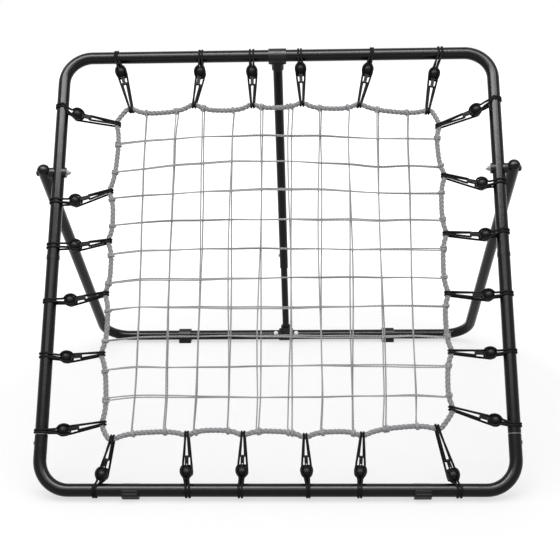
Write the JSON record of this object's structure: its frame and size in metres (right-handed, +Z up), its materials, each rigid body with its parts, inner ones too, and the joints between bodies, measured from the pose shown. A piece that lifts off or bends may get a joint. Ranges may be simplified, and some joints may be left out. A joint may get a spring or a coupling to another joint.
{
  "type": "pitch back rebounder",
  "caption": "Leaning square tube frame with a bungee-sprung net, a hinged rear U frame and a telescopic strut that sets the angle, for rebounding balls.",
  "frame": {"origin": "on the floor, under the middle of the whole object's box", "axes": "+X to the right as seen from the net's front, +Y back to the rear frame, +Z up; the net faces -Y and leans back"},
  "size_m": [1.1196, 0.9584, 0.887],
  "materials": {
    "frame_paint": "satin",
    "bright_steel": "polished",
    "spring_steel": "satin",
    "black_plastic": "matte",
    "toggle_plastic": "gloss",
    "bungee_cord": "matte",
    "border_rope": "matte",
    "net_twine": "matte"
  },
  "bodies": {
    "root": {"front_top_bow": "frame_paint", "front_side_tube_left": "frame_paint", "front_side_tube_right": "frame_paint", "front_bottom_bow": "frame_paint", "joint_sleeves": "bright_steel", "sleeve_rivets": "bright_steel", "pivot_bolts": "bright_steel", "lock_nuts": "bright_steel", "inner_saddles": "black_plastic", "frame_saddles": "black_plastic", "front_foot_left": "black_plastic", "front_foot_right": "black_plastic", "net_border_rope": "border_rope", "net_front_layer": "net_twine", "net_rear_layer": "net_twine", "toggles_top": "toggle_plastic", "toggles_right": "toggle_plastic", "toggles_bottom": "toggle_plastic", "toggles_left": "toggle_plastic", "bungee_top_1": "bungee_cord", "bungee_top_2": "bungee_cord", "bungee_top_3": "bungee_cord", "bungee_top_4": "bungee_cord", "bungee_top_5": "bungee_cord", "bungee_top_6": "bungee_cord", "bungee_right_1": "bungee_cord", "bungee_right_2": "bungee_cord", "bungee_right_3": "bungee_cord", "bungee_right_4": "bungee_cord", "bungee_right_5": "bungee_cord", "bungee_right_6": "bungee_cord", "bungee_bottom_1": "bungee_cord", "bungee_bottom_2": "bungee_cord", "bungee_bottom_3": "bungee_cord", "bungee_bottom_4": "bungee_cord", "bungee_bottom_5": "bungee_cord", "bungee_bottom_6": "bungee_cord", "bungee_left_1": "bungee_cord", "bungee_left_2": "bungee_cord", "bungee_left_3": "bungee_cord", "bungee_left_4": "bungee_cord", "bungee_left_5": "bungee_cord", "bungee_left_6": "bungee_cord"},
    "leg_frame": {"rear_bow": "frame_paint", "leg_cap_left": "black_plastic", "leg_cap_right": "black_plastic", "leg_saddles": "black_plastic", "outer_saddles": "black_plastic", "rear_foot_left": "black_plastic", "rear_foot_right": "black_plastic", "tee_stop_screws": "bright_steel"},
    "strut_outer": {"upper_tee": "black_plastic", "strut_outer_tube": "frame_paint", "button_spring": "spring_steel"},
    "strut_inner": {"strut_inner_tube": "frame_paint"},
    "strut_foot": {"lower_tee": "black_plastic"},
    "button": {"lock_button": "bright_steel"}
  },
  "joints": [
    {"name": "leg_fold", "type": "hinge", "parent": "root", "child": "leg_frame", "pos_m": [0, -0.06813, 0.62368], "axis": [-1, 0, 0], "range_deg": [0, 62]},
    {"name": "strut_swing", "type": "hinge", "parent": "root", "child": "strut_outer", "pos_m": [0, 0.0909, 0.86857], "axis": [-1, 0, 0], "range_deg": [0, 47.6]},
    {"name": "strut_slide", "type": "slide", "parent": "strut_outer", "child": "strut_inner", "axis": [0, 0.3987, -0.9171], "range_m": [0, 0.164]},
    {"name": "tee_swivel", "type": "hinge", "parent": "leg_frame", "child": "strut_foot", "pos_m": [0, 0.46023, 0.019], "axis": [1, 0, 0], "range_deg": [0, 14.5]},
    {"name": "button_press", "type": "slide", "parent": "strut_outer", "child": "button", "axis": [1, 0, 0], "range_m": [0, 0.0025], "stiffness_N_per_m": 800}
  ],
  "couplings": [
    {"joint": "strut_swing", "follows": "leg_fold", "ratio": 0.7675},
    {"joint": "strut_slide", "follows": "leg_fold", "m_per_rad": 0.1512},
    {"joint": "tee_swivel", "follows": "leg_fold", "ratio": 0.2325}
  ]
}
